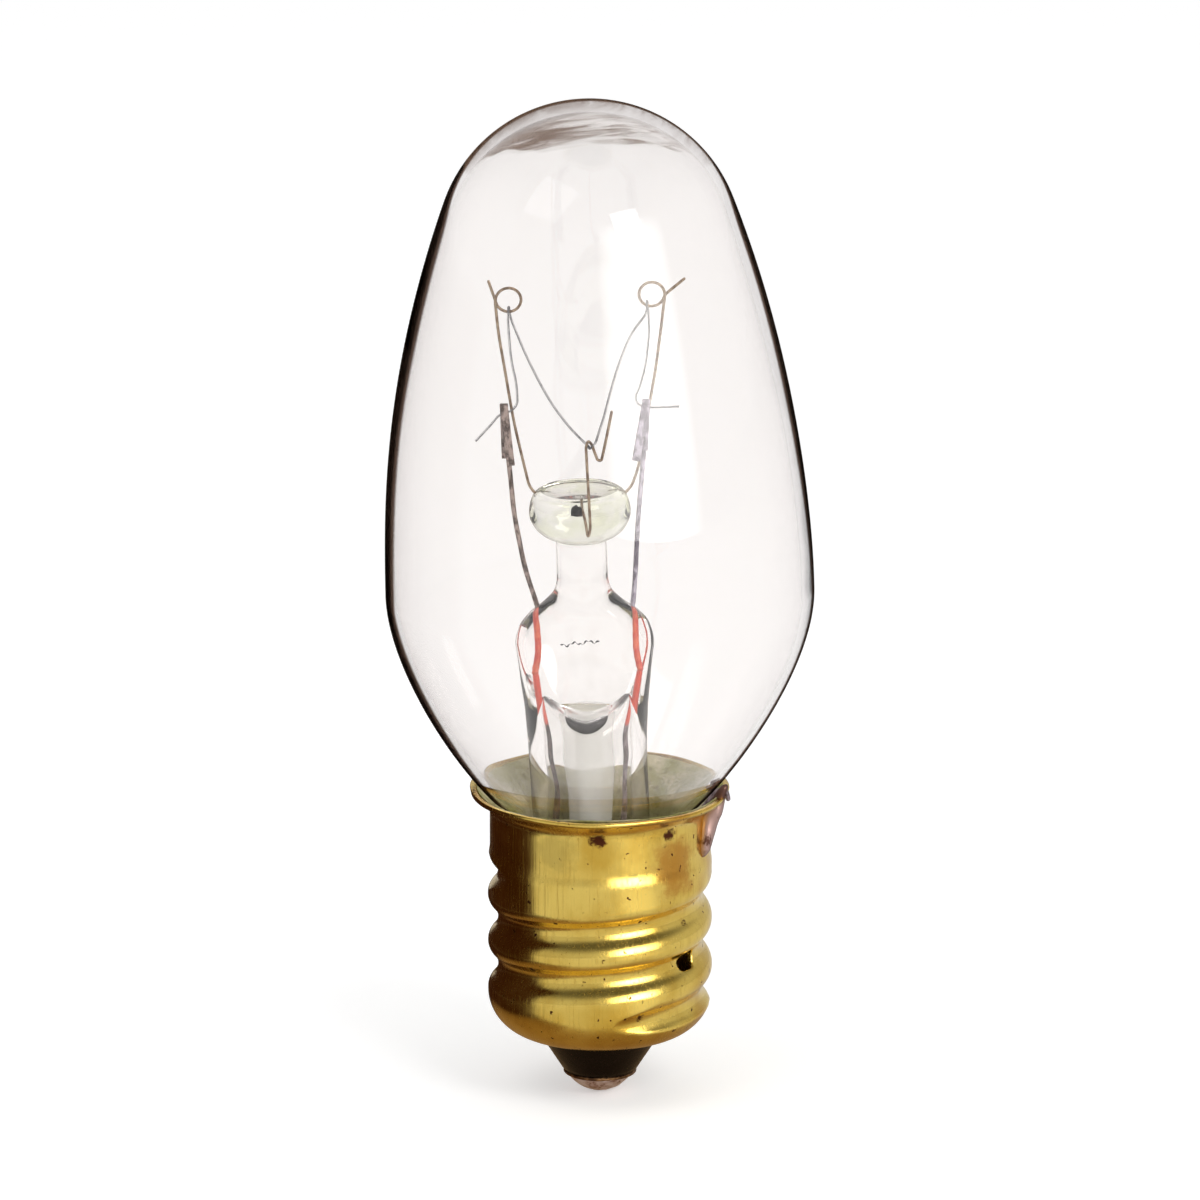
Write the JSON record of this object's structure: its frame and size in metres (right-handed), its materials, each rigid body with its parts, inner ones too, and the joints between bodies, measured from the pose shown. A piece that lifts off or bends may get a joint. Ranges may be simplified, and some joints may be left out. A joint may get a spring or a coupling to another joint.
{
  "type": "night light bulb",
  "caption": "Small clear incandescent night light bulb with a zigzag filament on a glass stem and a brass screw base",
  "frame": {"origin": "lowest point of the centre contact, on the axis of the screw base", "axes": "+Z from the centre contact towards the crown of the glass, +X towards the soldered side of the lip, +Y away from the viewer of the picture"},
  "size_m": [0.0221, 0.0222, 0.0528],
  "materials": {
    "clear_glass": "clear blown glass, smooth",
    "stem_glass": "clear pressed glass",
    "dumet_red": "red oxidised seal wire",
    "lead_wire": "dull nickel plated iron",
    "copper_wire": "darkened copper",
    "support_wire": "drawn molybdenum wire",
    "tungsten": "fine coiled tungsten",
    "cap_brass": "bright rolled brass with fine scratches",
    "cement": "dull khaki cement",
    "black_glass": "glossy black insulator",
    "eyelet_brass": "plain brass eyelet",
    "solder": "dull grey solder"
  },
  "bodies": {
    "root": {"glass_envelope": "clear_glass", "stem_flare": "stem_glass", "exhaust_tube": "stem_glass", "button_rod": "stem_glass", "dumet_left": "dumet_red", "dumet_right": "dumet_red", "inner_lead_left": "lead_wire", "inner_lead_right": "lead_wire", "outer_lead_left": "copper_wire", "outer_lead_right": "copper_wire", "support_left": "support_wire", "support_right": "support_wire", "support_middle": "support_wire", "filament": "tungsten", "screw_shell": "cap_brass", "base_cement": "cement", "insulator": "black_glass", "contact_eyelet": "eyelet_brass", "centre_solder": "solder", "side_solder": "solder"}
  },
  "joints": []
}
